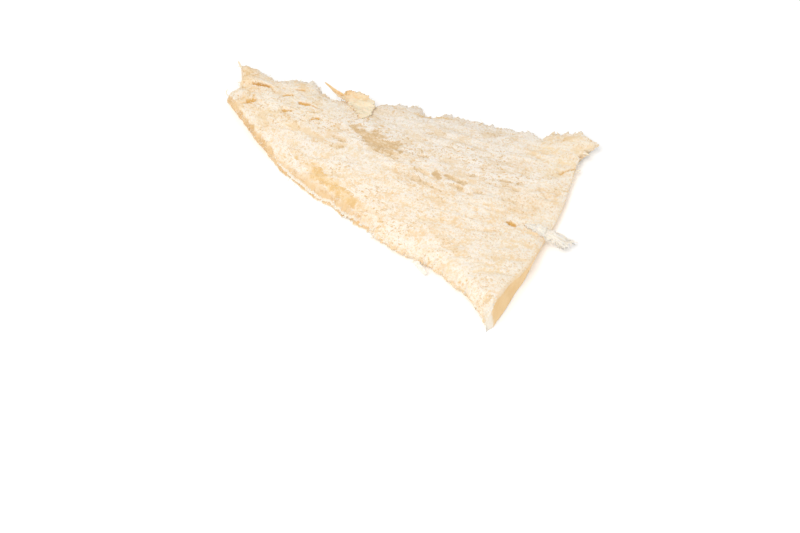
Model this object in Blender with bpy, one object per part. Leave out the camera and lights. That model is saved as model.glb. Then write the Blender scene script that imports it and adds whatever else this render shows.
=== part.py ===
"""A cut slab of salted dried cod, lying on its flat underside.

+X runs from the narrow tail tip to the broad slanting cut, along the nearly straight belly edge.
+Y runs from the belly edge to the torn back edge, and +Z is up.
The slab is thickest at the belly corner of the cut and thins to its back edge.
"""

import math

import bmesh
import bpy
from mathutils import Vector

MM = 0.001

# Plan corners, before the edges are bowed.
TAIL_BELLY = Vector((-76.5, -44.0)) * MM
TAIL_BACK = Vector((-84.0, -28.5)) * MM
CUT_BELLY = Vector((85.0, -46.0)) * MM
CUT_BACK = Vector((41.0, 52.5)) * MM

# Bows of each edge away from its straight line, one per half wave; positive bulges outwards.
BELLY_BOWS = (4.0 * MM, 4.3 * MM, -1.0 * MM)
BACK_BOWS = (-5.3 * MM, 0.4 * MM, -0.6 * MM, 1.0 * MM, 0.4 * MM)
CUT_BOWS = (5.1 * MM, 0.2 * MM, 1.4 * MM)
TAIL_BOW = 1.2 * MM
END_REACH = 3.0

# Thicknesses at the edges, and the crown that the middle adds to them.
TAIL_BELLY_THICK = 6.0 * MM
TAIL_BACK_THICK = 4.5 * MM
BELLY_THICK = 5.0 * MM
BACK_THICK = 4.0 * MM
CUT_BELLY_THICK = 12.0 * MM
CUT_BACK_THICK = 3.6 * MM
CUT_THIN_AT = 0.55
CORNER_REACH = 5.0
CROWN = 6.0 * MM
CROWN_FULLNESS = 0.75

# Broad waves in the top face.
WAVE_HEIGHT = 0.7 * MM
WAVES = ((2.3, 0.4, 0.6), (1.1, 2.2, 2.0), (4.2, 1.3, 4.1), (3.1, 3.4, 1.2))

# Roundings: the rim's upper edge, the crisper edge of the cut, and the lower edge.
TOP_ROUND = 7.0 * MM
CUT_ROUND = 1.6 * MM
RIM_SHARE = 0.42
LOWER_ROUND = 1.4 * MM
LOWER_RISE = 0.8 * MM

# The cut leans, so its foot stands out; the thin back corner is lifted clear of the board.
CUT_LEAN = 0.28
LEAN_REACH = 10.0
CORNER_LIFT = 3.0 * MM
LIFT_RADIUS = 34.0 * MM

# Rows of facets along and across the slab, closer together near the rim.
ROWS_ALONG = 60
ROWS_ACROSS = 34
RIM_CROWDING = 0.8

FLESH_COLOUR = (0.93, 0.80, 0.62, 1.0)
FLESH_ROUGHNESS = 0.8


def smooth(t):
    """Ease from 0 to 1 with level ends."""
    t = min(max(t, 0.0), 1.0)
    return t * t * (3.0 - 2.0 * t)


def rounding(distance, radius):
    """Quarter-ellipse rise from 0 at the rim to 1 at one radius inside it."""
    q = 1.0 - min(max(distance / radius, 0.0), 1.0)
    return math.sqrt(1.0 - q * q)


def bow(bows, s):
    """Sum of half-wave bows at the fraction s of an edge."""
    return sum(size * math.sin(math.pi * (k + 1) * s) for k, size in enumerate(bows))


def outward(start, end):
    """Unit normal to the right of the run from start to end."""
    run = (end - start).normalized()
    return Vector((run.y, -run.x))


BELLY_OUT = outward(TAIL_BELLY, CUT_BELLY)
BACK_OUT = outward(CUT_BACK, TAIL_BACK)
CUT_OUT = outward(CUT_BELLY, CUT_BACK)
TAIL_OUT = outward(TAIL_BACK, TAIL_BELLY)


def plan(u, v):
    """Plan position: u runs from the tail to the cut, v from the belly edge to the back edge."""
    belly = TAIL_BELLY.lerp(CUT_BELLY, u) + BELLY_OUT * bow(BELLY_BOWS, u)
    back = TAIL_BACK.lerp(CUT_BACK, u) + BACK_OUT * bow(BACK_BOWS, u)
    point = belly.lerp(back, v)
    point += CUT_OUT * bow(CUT_BOWS, v) * u ** END_REACH
    point += TAIL_OUT * TAIL_BOW * math.sin(math.pi * v) * (1.0 - u) ** END_REACH
    return point


def cut_thickness(v):
    """Thickness along the cut: full at the belly corner, thin from the middle to the back corner."""
    return CUT_BACK_THICK + (CUT_BELLY_THICK - CUT_BACK_THICK) * (1.0 - smooth(v / CUT_THIN_AT))


def thickness(u, v):
    """Thickness of the slab inside its rim roundings."""
    tail = TAIL_BELLY_THICK + (TAIL_BACK_THICK - TAIL_BELLY_THICK) * v
    side = BELLY_THICK + (BACK_THICK - BELLY_THICK) * v
    near_tail = (1.0 - u) ** CORNER_REACH
    near_cut = u ** CORNER_REACH
    edge = side + (tail - side) * near_tail + (cut_thickness(v) - side) * near_cut
    arch = (math.sin(math.pi * u) * math.sin(math.pi * v)) ** CROWN_FULLNESS
    ripple = sum(math.sin(a * math.pi * u + c) * math.cos(b * math.pi * v + c) for a, b, c in WAVES)
    return edge + CROWN * arch + WAVE_HEIGHT * ripple * arch


def rim_distances(u, v):
    """Distances to the two long edges, the tail and the cut."""
    belly = plan(u, 0.0)
    back = plan(u, 1.0)
    width = (back - belly).length
    length = (plan(1.0, v) - plan(0.0, v)).length
    return v * width, (1.0 - v) * width, u * length, (1.0 - u) * length


def underside(u, v):
    """Height of the underside: flat, with a rounded lower rim and a lifted back corner."""
    nearest = min(rim_distances(u, v))
    rise = LOWER_RISE * (1.0 - rounding(nearest, LOWER_ROUND))
    away = (plan(u, v) - CUT_BACK).length
    return rise + CORNER_LIFT * (1.0 - smooth(away / LIFT_RADIUS)) ** 2


def top_point(u, v):
    """Point of the top face above the plan position (u, v)."""
    thick = thickness(u, v)
    to_belly, to_back, to_tail, to_cut = rim_distances(u, v)
    fall = rounding(to_belly, TOP_ROUND) * rounding(to_back, TOP_ROUND)
    fall *= rounding(to_tail, TOP_ROUND) * rounding(to_cut, CUT_ROUND)
    height = thick * (RIM_SHARE + (1.0 - RIM_SHARE) * fall)
    point = plan(u, v) - CUT_OUT * (CUT_LEAN * height * u ** LEAN_REACH)
    return Vector((point.x, point.y, underside(u, v) + height))


def crowd(t):
    """Move an even parameter towards the rims, so that the rows close up there."""
    eased = 0.5 - 0.5 * math.cos(math.pi * t)
    return t + (eased - t) * RIM_CROWDING


def flesh_material():
    material = bpy.data.materials.new("salted_flesh")
    material.use_nodes = True
    shader = material.node_tree.nodes["Principled BSDF"]
    shader.inputs["Base Color"].default_value = FLESH_COLOUR
    shader.inputs["Roughness"].default_value = FLESH_ROUGHNESS
    return material


def cod_slab(collection):
    """Extrude a grid into a closed sheet, then map its two faces to the underside and the top."""
    bm = bmesh.new()
    bmesh.ops.create_grid(bm, x_segments=ROWS_ALONG, y_segments=ROWS_ACROSS, size=1.0)
    raised = bmesh.ops.extrude_face_region(bm, geom=list(bm.faces))["geom"]
    tops = {item for item in raised if isinstance(item, bmesh.types.BMVert)}
    for vert in bm.verts:
        u = crowd(0.5 + 0.5 * vert.co.x)
        v = crowd(0.5 + 0.5 * vert.co.y)
        if vert in tops:
            vert.co = top_point(u, v)
        else:
            foot = plan(u, v)
            vert.co = (foot.x, foot.y, underside(u, v))
    bmesh.ops.recalc_face_normals(bm, faces=bm.faces)
    xs = [vert.co.x for vert in bm.verts]
    ys = [vert.co.y for vert in bm.verts]
    lowest = min(vert.co.z for vert in bm.verts)
    base = Vector((0.5 * (min(xs) + max(xs)), 0.5 * (min(ys) + max(ys)), lowest))
    bmesh.ops.translate(bm, vec=-base, verts=bm.verts)
    mesh = bpy.data.meshes.new("cod_slab")
    bm.to_mesh(mesh)
    bm.free()
    mesh.shade_smooth()
    mesh.materials.append(flesh_material())
    collection.objects.link(bpy.data.objects.new("cod_slab", mesh))


for old in list(bpy.data.objects):
    bpy.data.objects.remove(old)
salted_cod = bpy.data.collections.new("salted_cod")
bpy.context.scene.collection.children.link(salted_cod)
cod_slab(salted_cod)
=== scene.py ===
"""Looks of a cut slab of salted dried cod, lying on its skin.

All shapes are worked out in millimetres about the middle of the slab's box, then scaled into the frame.
Along the slab, u runs from 0 at the narrow tail to 1 at the broad slanting cut.
Across it, v runs from 0 at the long belly edge to 1 at the torn back edge.
"""

import math

import bpy
import numpy as np
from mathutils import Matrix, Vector


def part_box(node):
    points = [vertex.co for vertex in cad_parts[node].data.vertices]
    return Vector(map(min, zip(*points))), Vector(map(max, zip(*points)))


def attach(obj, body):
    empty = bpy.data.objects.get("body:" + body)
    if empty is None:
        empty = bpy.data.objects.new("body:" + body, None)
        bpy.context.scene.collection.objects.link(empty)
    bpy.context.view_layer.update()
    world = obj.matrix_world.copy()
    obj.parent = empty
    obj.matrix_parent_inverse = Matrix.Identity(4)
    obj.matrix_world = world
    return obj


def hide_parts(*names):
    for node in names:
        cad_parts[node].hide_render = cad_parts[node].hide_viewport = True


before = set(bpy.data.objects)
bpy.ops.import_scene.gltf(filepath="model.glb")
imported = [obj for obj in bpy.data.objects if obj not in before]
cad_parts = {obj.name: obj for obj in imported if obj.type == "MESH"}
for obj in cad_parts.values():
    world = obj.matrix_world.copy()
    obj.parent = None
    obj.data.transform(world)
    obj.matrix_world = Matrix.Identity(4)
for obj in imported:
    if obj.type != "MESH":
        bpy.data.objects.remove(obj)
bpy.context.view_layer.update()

LOW, HIGH = (np.array(corner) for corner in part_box("cod_slab"))
MM = 0.001

# ---------------------------------------------------------------- plan of the slab

TAIL_BELLY = np.array((-76.5, -44.0))
TAIL_BACK = np.array((-84.0, -28.5))
CUT_BELLY = np.array((85.0, -46.0))
CUT_BACK = np.array((41.0, 52.5))

BELLY_BOWS = (4.0, 4.3, -1.0)
BACK_BOWS = (-5.3, 0.4, -0.6, 1.0, 0.4)
CUT_BOWS = (5.1, 0.2, 1.4)
TAIL_BOW = 1.2
END_REACH = 3.0

# ---------------------------------------------------------------- thicknesses

BELLY_THICK = 5.4
BACK_THICK = 3.8
TAIL_THICK = 5.4
CUT_BELLY_THICK = 11.6
CUT_BACK_THICK = 3.2
CUT_THIN_AT = 0.55
CORNER_REACH = 5.0
CROWN = 5.2
CORNER_LIFT = 3.0
LIFT_RADIUS = 34.0

# ---------------------------------------------------------------- grid of the flesh

STATIONS = 350
LINES = 214
WALL_ROWS = 14
FOOT_HEIGHT = 0.35
UNDER_RINGS = 5


def smooth(t):
    """Ease from 0 to 1 with level ends."""
    t = np.clip(t, 0.0, 1.0)
    return t * t * (3.0 - 2.0 * t)


def rounding(t):
    """Quarter circle: 0 at the rim, 1 from one radius inside it."""
    q = 1.0 - np.clip(t, 0.0, 1.0)
    return np.sqrt(1.0 - q * q)


def mix(a, b, t):
    """Straight blend from a to b."""
    return a + (b - a) * t


# ---------------------------------------------------------------- noise


def hills(x, y, seed):
    """Gradient noise, about -0.7 to 0.7: slopes at random angles on a unit lattice, eased together."""
    size = 256
    angle = np.random.default_rng(seed).uniform(0.0, 2.0 * np.pi, (size, size))
    column, row = np.floor(x).astype(int), np.floor(y).astype(int)
    fx, fy = x - column, y - row
    ex = fx ** 3 * (fx * (fx * 6.0 - 15.0) + 10.0)
    ey = fy ** 3 * (fy * (fy * 6.0 - 15.0) + 10.0)
    total = 0.0
    for dx in (0, 1):
        for dy in (0, 1):
            turn = angle[(column + dx) % size, (row + dy) % size]
            slope = np.cos(turn) * (fx - dx) + np.sin(turn) * (fy - dy)
            total = total + slope * (ex if dx else 1.0 - ex) * (ey if dy else 1.0 - ey)
    return total


def layered(x, y, cell, seed, layers=4, fade=0.5):
    """Sum of noises, each with half the cell size and a fraction of the height of the last."""
    total, height = 0.0, 1.0
    for layer in range(layers):
        total = total + height * hills(x / cell, y / cell, seed + layer)
        cell, height = cell * 0.5, height * fade
    return total


# ---------------------------------------------------------------- plan functions


def bow(bows, s):
    """Sum of half-wave bows at the fraction s of an edge."""
    return sum(size * np.sin(np.pi * (k + 1) * s) for k, size in enumerate(bows))


def outward(start, end):
    """Unit normal to the right of the run from start to end."""
    run = (end - start) / np.hypot(*(end - start))
    return np.array((run[1], -run[0]))


BELLY_OUT = outward(TAIL_BELLY, CUT_BELLY)
BACK_OUT = outward(CUT_BACK, TAIL_BACK)
CUT_OUT = outward(CUT_BELLY, CUT_BACK)
TAIL_OUT = outward(TAIL_BACK, TAIL_BELLY)


def raw_plan(u, v):
    """Ruled surface between the bowed belly and back edges, with its two ends bulged."""
    u, v = np.asarray(u)[..., None], np.asarray(v)[..., None]
    belly = mix(TAIL_BELLY, CUT_BELLY, u) + BELLY_OUT * bow(BELLY_BOWS, u)
    back = mix(TAIL_BACK, CUT_BACK, u) + BACK_OUT * bow(BACK_BOWS, u)
    point = mix(belly, back, v) + CUT_OUT * bow(CUT_BOWS, v) * u ** END_REACH
    return point + TAIL_OUT * TAIL_BOW * np.sin(np.pi * v) * (1.0 - u) ** END_REACH


OUTLINE = raw_plan(*np.meshgrid(np.linspace(0, 1, 201), np.linspace(0, 1, 101), indexing="ij"))
OUTLINE_LOW = OUTLINE.min((0, 1))
OUTLINE_SIZE = OUTLINE.max((0, 1)) - OUTLINE_LOW
SLAB_SIZE = (HIGH - LOW) / MM


def plan(u, v):
    """Plan position in millimetres about the middle of the slab's box, fitted to the frame's slab."""
    return ((raw_plan(u, v) - OUTLINE_LOW) / OUTLINE_SIZE - 0.5) * SLAB_SIZE[:2]


def in_frame(points):
    """Millimetres about the middle of the slab's box, to metres in the frame."""
    base = np.array((0.5 * (LOW[0] + HIGH[0]), 0.5 * (LOW[1] + HIGH[1]), LOW[2]))
    return base + points * MM


def edge_distances(u, v):
    """Distances in from the belly edge, the back edge, the tail and the cut."""
    width = np.linalg.norm(plan(u, np.ones_like(v)) - plan(u, np.zeros_like(v)), axis=-1)
    length = np.linalg.norm(plan(np.ones_like(u), v) - plan(np.zeros_like(u), v), axis=-1)
    return v * width, (1.0 - v) * width, u * length, (1.0 - u) * length


def lift(x, y):
    """Height of the underside: level, but for the thin back corner, which has dried upwards."""
    corner = plan(np.array(1.0), np.array(1.0))
    away = np.hypot(x - corner[0], y - corner[1])
    return CORNER_LIFT * (1.0 - smooth(away / LIFT_RADIUS)) ** 2


# ---------------------------------------------------------------- run of the muscle fibres

GRAIN_SLOPE = 0.20
GRAIN_TURN = 0.0045
GRAIN_FROM = -80.0
FAN_POINT = (41.0, 58.0)


def across_grain(x, y):
    """Distance across the fibres, which climb from the tail and bend towards the back corner."""
    run = x - GRAIN_FROM
    return y - GRAIN_SLOPE * run - 0.5 * GRAIN_TURN * run ** 2


def along_grain(x, y):
    """Distance along the fibres."""
    return x + 0.55 * y


def fan_share(x, y):
    """Where the fibres gather into a fan that meets at the back corner."""
    return smooth((y - 14.0 + 0.35 * (40.0 - x)) / 16.0) * smooth((x - 22.0) / 14.0)


def fan_lines(x, y):
    """Distances along and across the fan's fibres, from the angle and radius about the corner."""
    east, south = x - FAN_POINT[0], FAN_POINT[1] - y
    return np.hypot(east, south), np.arctan2(east, south) * 24.0


# ---------------------------------------------------------------- marks on the top face

# Creases in the flesh: start, end, half width, depth.
CREASES = (
    ((-73.2, -33.0), (-71.2, -32.0), 0.45, 1.2),
    ((-71.2, -32.0), (-69.4, -30.4), 0.62, 1.6),
    ((-69.4, -30.4), (-67.2, -29.2), 0.50, 1.4),
    ((-66.8, -28.9), (-62.8, -29.4), 0.30, 0.5),
    ((-73.0, -34.0), (-67.4, -40.0), 0.45, 0.35),
    ((-67.3, -43.2), (-64.6, -38.6), 0.60, 0.7),
    ((-66.4, -41.0), (-65.2, -39.2), 0.80, 1.2),
    ((-58.6, -27.6), (-56.6, -25.0), 0.75, 1.15),
    ((-58.6, -21.4), (-56.6, -19.2), 0.50, 1.15),
    ((-57.2, -25.0), (-58.8, -21.6), 0.30, 0.3),
    ((-50.0, -26.2), (-47.0, -24.4), 0.65, 1.4),
    ((-47.0, -24.4), (-43.8, -23.2), 0.45, 1.0),
    ((-51.6, -34.4), (-48.6, -32.4), 0.55, 1.0),
    ((-39.0, -29.6), (-37.0, -27.2), 0.60, 1.1),
    ((47.5, 28.2), (49.9, 35.4), 0.50, 0.8),
    ((45.0, 18.8), (50.0, 14.8), 0.50, 0.25),
    ((50.0, 14.8), (54.2, 14.4), 0.45, 0.50),
    ((54.2, 14.4), (57.6, 22.4), 0.40, 0.30),
    ((53.4, -7.2), (54.8, -6.4), 0.55, 1.2),
    ((54.8, -6.4), (56.4, -6.0), 0.85, 2.2),
    ((56.9, -4.8), (58.2, -1.6), 0.35, 0.4),
    ((58.2, -1.6), (63.6, 1.0), 0.30, 0.35),
    ((58.6, -7.0), (62.4, -3.6), 0.30, 0.3),
    ((36.0, 1.8), (43.0, 6.6), 0.35, 0.25),
    ((61.0, -34.0), (63.6, -30.8), 0.40, 0.3),
)

# Patches where the salt crust has come off: middle, half length, half width, turn in degrees, strength.
BARE_PATCHES = (
    ((-9.0, -19.2), 9.4, 3.0, 12.0, 1.0),
    ((-18.0, -19.6), 7.0, 2.2, -4.0, 1.0),
    ((-23.0, -19.6), 2.8, 1.6, 0.0, 1.0),
    ((-22.6, -17.0), 1.8, 0.8, 30.0, 0.8),
    ((-13.6, -17.0), 3.4, 2.6, 60.0, 0.9),
    ((-11.4, -14.4), 3.6, 1.5, 30.0, 0.8),
    ((-6.4, -16.0), 5.0, 2.2, 24.0, 0.95),
    ((-3.6, -20.4), 5.0, 0.9, 14.0, 0.6),
    ((-22.6, -28.8), 3.6, 1.0, 14.0, 0.75),
    ((-19.2, -32.0), 2.8, 0.9, 30.0, 0.6),
    ((-25.6, -25.0), 3.2, 0.8, 60.0, 0.45),
    ((-5.0, -12.7), 1.9, 1.4, 40.0, 1.0),
    ((-0.2, -14.8), 1.1, 1.9, 10.0, 0.95),
    ((2.4, -12.8), 2.4, 0.5, 34.0, 0.5),
    ((-1.2, 2.2), 3.0, 1.1, 52.0, 0.50),
    ((1.2, 4.6), 3.8, 1.6, 52.0, 0.40),
    ((14.4, 21.4), 4.4, 1.9, 56.0, 0.50),
    ((30.6, 15.0), 1.2, 5.0, -30.0, 0.35),
    ((7.4, -9.6), 2.4, 0.7, 30.0, 0.55),
    ((10.6, -16.8), 2.0, 0.9, 10.0, 0.75),
    ((13.8, -15.6), 3.2, 0.9, 12.0, 0.6),
    ((14.6, -20.2), 4.6, 1.4, 14.0, 0.65),
    ((20.2, -18.6), 3.4, 1.0, 14.0, 0.60),
    ((24.6, -17.6), 2.6, 0.6, 14.0, 0.55),
    ((18.4, -12.4), 2.9, 1.5, -28.0, 1.0),
    ((22.8, -8.8), 3.9, 1.2, 20.0, 1.0),
    ((27.6, -7.4), 2.4, 1.2, 24.0, 1.0),
    ((29.6, -10.0), 2.0, 1.4, 20.0, 0.95),
    ((26.4, -11.4), 2.6, 0.7, 30.0, 0.6),
    ((35.6, -5.8), 1.8, 0.7, 40.0, 0.70),
    ((33.6, -9.4), 2.0, 0.6, 20.0, 0.5),
    ((34.8, 1.6), 2.2, 0.7, 36.0, 0.5),
    ((27.0, -1.6), 2.4, 0.7, 36.0, 0.45),
    ((37.0, 6.8), 2.6, 0.8, 36.0, 0.65),
    ((40.8, 6.4), 2.0, 0.7, 36.0, 0.6),
    ((43.6, 7.2), 1.8, 0.9, 36.0, 0.8),
    ((42.6, 11.2), 1.4, 0.9, 36.0, 0.6),
    ((49.0, 15.7), 1.6, 0.7, 40.0, 0.6),
    ((47.4, 2.4), 2.4, 0.7, 40.0, 0.5),
    ((44.5, -0.6), 2.2, 0.6, 36.0, 0.45),
    ((80.0, -41.4), 1.8, 1.2, 60.0, 0.7),
    ((74.6, -38.6), 2.2, 0.8, 40.0, 0.45),
)

# Golden stains: middle, half length, half width, turn in degrees, strength.
GOLD_STAINS = (
    ((-79.0, -30.5), 8.0, 4.4, 20.0, 0.62),
    ((-70.0, -38.5), 5.0, 1.6, -40.0, 0.50),
    ((-60.0, -42.8), 16.0, 2.2, -16.0, 0.45),
    ((-29.0, -44.6), 10.0, 2.2, -6.0, 0.45),
    ((-12.0, -45.8), 15.0, 2.6, 0.0, 0.95),
    ((0.0, -45.8), 7.0, 2.4, 6.0, 1.0),
    ((18.0, -42.8), 13.0, 1.4, 8.0, 0.35),
    ((-34.0, -20.0), 7.0, 6.0, 20.0, 0.22),
    ((-27.0, -2.0), 6.0, 5.0, 40.0, 0.30),
    ((-9.0, 11.6), 8.5, 1.0, 36.0, 0.90),
    ((-20.0, 3.0), 6.0, 4.0, 42.0, 0.35),
    ((44.0, 36.0), 13.0, 5.0, 80.0, 0.24),
    ((37.0, 45.0), 6.0, 1.6, 72.0, 0.55),
    ((53.0, 6.0), 7.0, 13.0, -30.0, 0.44),
    ((52.0, -22.0), 7.0, 4.0, 30.0, 0.26),
    ((36.2, -32.3), 3.6, 1.6, 20.0, 0.50),
    ((44.4, -33.4), 5.0, 2.2, 10.0, 0.55),
    ((52.2, -33.8), 4.0, 1.4, 30.0, 0.50),
    ((60.5, -32.6), 4.0, 1.6, 30.0, 0.45),
    ((54.9, -23.0), 4.6, 1.4, 36.0, 0.45),
    ((24.0, -28.0), 6.0, 1.4, 24.0, 0.40),
    ((10.0, -30.0), 6.0, 1.6, 20.0, 0.40),
    ((78.0, -33.0), 3.0, 7.0, 10.0, 0.30),
    ((-31.0, -35.0), 9.0, 3.0, 10.0, 0.55),
    ((-44.0, -36.6), 8.0, 3.0, -14.0, 0.52),
    ((-19.4, -31.4), 2.6, 1.2, 30.0, 0.60),
)


def blobs(marks, x, y, wobble, seed):
    """Strongest of several soft ellipses, each turned about its middle, their outlines ragged by noise."""
    cross, along = across_grain(x, y), along_grain(x, y)
    ragged = wobble * (layered(along / 2.6, cross / 1.3, 1.0, seed, 3, 0.7) + layered(x, y, 6.0, seed + 5, 3))
    found = np.zeros_like(x)
    for (cx, cy), long, wide, turn, strength in marks:
        c, s = math.cos(math.radians(turn)), math.sin(math.radians(turn))
        a, b = c * (x - cx) + s * (y - cy), c * (y - cy) - s * (x - cx)
        inside = 1.0 - np.hypot(a / long, b / wide) + ragged
        found = np.maximum(found, strength * smooth(inside * 1.05 + 0.46))
    return found


def creases(x, y):
    """Depth of the creases in millimetres: a rounded groove along each wandering line, with a ragged rim."""
    wx = x + 1.0 * hills(x / 2.6, y / 2.6, 71) + 0.5 * hills(x / 0.9, y / 0.9, 73)
    wy = y + 1.0 * hills(x / 2.6, y / 2.6, 72) + 0.5 * hills(x / 0.9, y / 0.9, 74)
    deepest = np.zeros_like(x)
    for (ax, ay), (bx, by), half, depth in CREASES:
        run = np.array((bx - ax, by - ay))
        t = np.clip(((wx - ax) * run[0] + (wy - ay) * run[1]) / (run @ run), 0.0, 1.0)
        away = np.hypot(wx - ax - t * run[0], wy - ay - t * run[1])
        deepest = np.maximum(deepest, depth * np.exp(-((away / half) ** 2)))
    return deepest


# ---------------------------------------------------------------- flesh


def thickness(u, v):
    """Thickness inside the roundings of the rim: edges, corners and a crown between them."""
    side = mix(BELLY_THICK, BACK_THICK, v)
    cut = CUT_BACK_THICK + (CUT_BELLY_THICK - CUT_BACK_THICK) * (1.0 - smooth(v / CUT_THIN_AT))
    edge = side + (TAIL_THICK - side) * (1.0 - u) ** CORNER_REACH + (cut - side) * u ** CORNER_REACH
    return edge + CROWN * (np.sin(np.pi * u) * np.sin(np.pi * v)) ** 0.75


def rim_fall(distance, radius, share):
    """Fraction of the height left near an edge: a share at the rim, rounding up to all of it."""
    return share + (1.0 - share) * rounding(distance / radius)


def flesh_relief(x, y):
    """Height of the top face's relief, and the masks of its salt, bare flesh, gold and creases."""
    cross, along = across_grain(x, y), along_grain(x, y)
    fan = fan_share(x, y)
    outward_run, round_run = fan_lines(x, y)
    broad = 0.75 * layered(x, y, 30.0, 11, 2) + 0.35 * layered(x, y, 10.0, 15, 2)
    folds = 0.30 * layered(along / 24.0, cross / 5.0, 1.0, 19, 3, 0.55)

    # Flakes overlap like tiles across the grain: a slow rise, then a steep edge.
    drift = cross + 3.0 * layered(along, cross, 26.0, 21, 3)
    tile = drift / 7.5 - np.floor(drift / 7.5)
    present = smooth(0.15 + 2.6 * layered(along * 0.5, cross, 13.0, 25, 2))
    calm = 1.0 - 0.75 * smooth((x - 30.0) / 20.0) * smooth((-4.0 - y) / 12.0)
    flakes = present * calm * 0.42 * (tile * smooth((1.0 - tile) / 0.12) - 0.4)

    straight = layered(along / 11.0, cross / 0.95, 1.0, 31, 3, 0.6)
    spread = layered(outward_run / 9.0, round_run / 0.95, 1.0, 33, 3, 0.6)
    fibres = mix(straight, spread, fan)
    silky = smooth((x - 34.0 + 0.3 * y) / 26.0)
    silky = np.maximum(0.8 * silky * smooth((y + 18.0) / 14.0), fan)
    gaps = creases(x, y)
    bare = blobs(BARE_PATCHES, x, y, 0.62, 41)
    gold = blobs(GOLD_STAINS, x, y, 0.60, 45)

    # Fine salt lies in drifts; small nicks strung along the grain show the flesh through it.
    drifts = layered(along * 0.55, cross, 6.5, 51, 5, 0.62)
    crust = smooth(0.75 + 0.95 * drifts - 0.12 * silky) * (1.0 - bare)
    worn = smooth(0.35 + 1.5 * layered(x, y, 17.0, 57, 3) + 0.5 * np.exp(-(((cross + 40.0) / 7.0) ** 2)))
    worn = np.maximum(worn, np.exp(-(((along - 14.0) / 24.0) ** 2) - ((cross + 9.0) / 8.0) ** 2))
    nick = smooth((layered(along / 2.6, cross / 1.2, 1.0, 55, 3, 0.7) - 0.30) / 0.25) * (0.45 + 0.55 * worn)
    lumps = layered(x, y, 2.6, 61, 3, 0.62)
    powder = layered(x, y, 1.1, 65, 2, 0.8)

    relief = broad + folds + flakes + fibres * (0.05 + 0.14 * silky)
    relief = relief + crust * (0.26 + 0.16 * lumps + 0.15 * powder)
    relief = relief - gaps - 0.16 * nick - 0.12 * bare
    frost = smooth((cross + 66.0) / 22.0 + 0.8 * layered(x, y, 16.0, 59, 3)) * (1.0 - silky)
    frost = frost * smooth((x + 46.0) / 24.0)
    return relief, {
        "crust": crust,
        "bare": bare,
        "gold": np.maximum(gold, 0.55 * silky * smooth((fibres - 0.05) / 0.35)),
        # Where the creases get their darker orange tint, partly painted shade.
        "crease": smooth(gaps / 1.3),
        "nick": nick * (1.0 - 0.5 * silky),
        "frost": frost,
        "silky": silky,
        "worn": worn * (1.0 - fan),
    }


def torn(s, seed):
    """Outline of a torn edge: nibbles, threads and steps, as a distance out from the edge."""
    nibble = hills(s / 2.3, s * 0.0 + 3.3, seed)
    step = np.tanh(5.0 * hills(s / 1.6, s * 0.0 + 7.7, seed + 1))
    fine = hills(s / 0.8, s * 0.0 + 1.9, seed + 3)
    return 0.5 * hills(s / 8.5, s * 0.0 + 0.4, seed + 2) + 1.0 * nibble + 0.45 * step + 0.85 * fine


STRAY_REACH = 11.0
TORN_REACH = 3.5
NOTCH_DEPTH = 4.4

# How far each edge strays out of the smooth outline: fraction along it, millimetres out.
TAIL_PROFILE = ((0.0, -0.4), (0.12, -0.8), (0.40, -3.9), (0.64, -3.4), (0.85, -1.0), (1.0, 1.6))
BELLY_PROFILE = (
    (0.0, -0.1), (0.10, -0.3), (0.15, 0.3), (0.20, 0.0), (0.28, 1.0), (0.33, 0.3), (0.42, 0.3),
    (0.455, -1.4), (0.50, -0.3), (0.59, 0.0), (0.61, 1.2), (0.66, 2.0), (0.69, 1.8), (0.73, 1.2),
    (0.76, 0.1), (0.80, -0.8), (0.86, -1.0), (0.90, -1.3), (0.94, -0.7), (0.98, -0.5), (1.0, 0.6),
)
CUT_PROFILE = (
    (0.0, -0.2), (0.02, 0.8), (0.06, 0.0), (0.12, -0.9), (0.19, -1.8), (0.25, -1.4), (0.30, -0.5),
    (0.42, 0.2), (0.50, 0.9), (0.58, 0.8), (0.64, 0.2), (0.72, -1.4), (0.79, -2.0), (0.85, -2.2),
    (0.870, -2.0), (0.892, -1.5), (0.902, 1.2), (0.910, 0.0), (0.924, 1.6), (0.944, 4.5), (0.962, 5.3),
    (0.972, 3.4), (0.980, 1.4), (0.990, 0.6), (1.0, 0.2),
)
BACK_PROFILE = (
    (0.0, 0.8), (0.03, 1.0), (0.06, 0.5), (0.08, -0.8), (0.11, -1.8), (0.13, -0.1), (0.165, 2.9),
    (0.20, 4.5), (0.22, 4.0), (0.24, 0.6), (0.265, -0.6), (0.30, -0.4), (0.40, -0.8), (0.412, 1.6),
    (0.44, 3.2), (0.475, 4.0), (0.51, 2.6), (0.53, 2.0), (0.536, -1.2), (0.565, -1.2), (0.60, 2.6),
    (0.62, 1.8), (0.69, 3.0), (0.74, 1.2), (0.775, 2.5), (0.80, 1.6), (0.84, 2.0), (0.876, -1.2),
    (0.90, 1.6), (0.93, 1.2), (0.956, 1.0), (0.972, 2.4), (0.983, 3.8), (0.990, 2.8), (0.996, 0.6),
    (1.0, -0.4),
)


def strayed(profile, s):
    """An edge's stray, read off its list at the fraction s."""
    places, outs = zip(*profile)
    return np.interp(s, places, outs)


def crest(u):
    """Where the back edge is most torn: two soft stretches of it."""
    return np.exp(-(((u - 0.19) / 0.05) ** 2)) + np.exp(-(((u - 0.50) / 0.08) ** 2))


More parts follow.
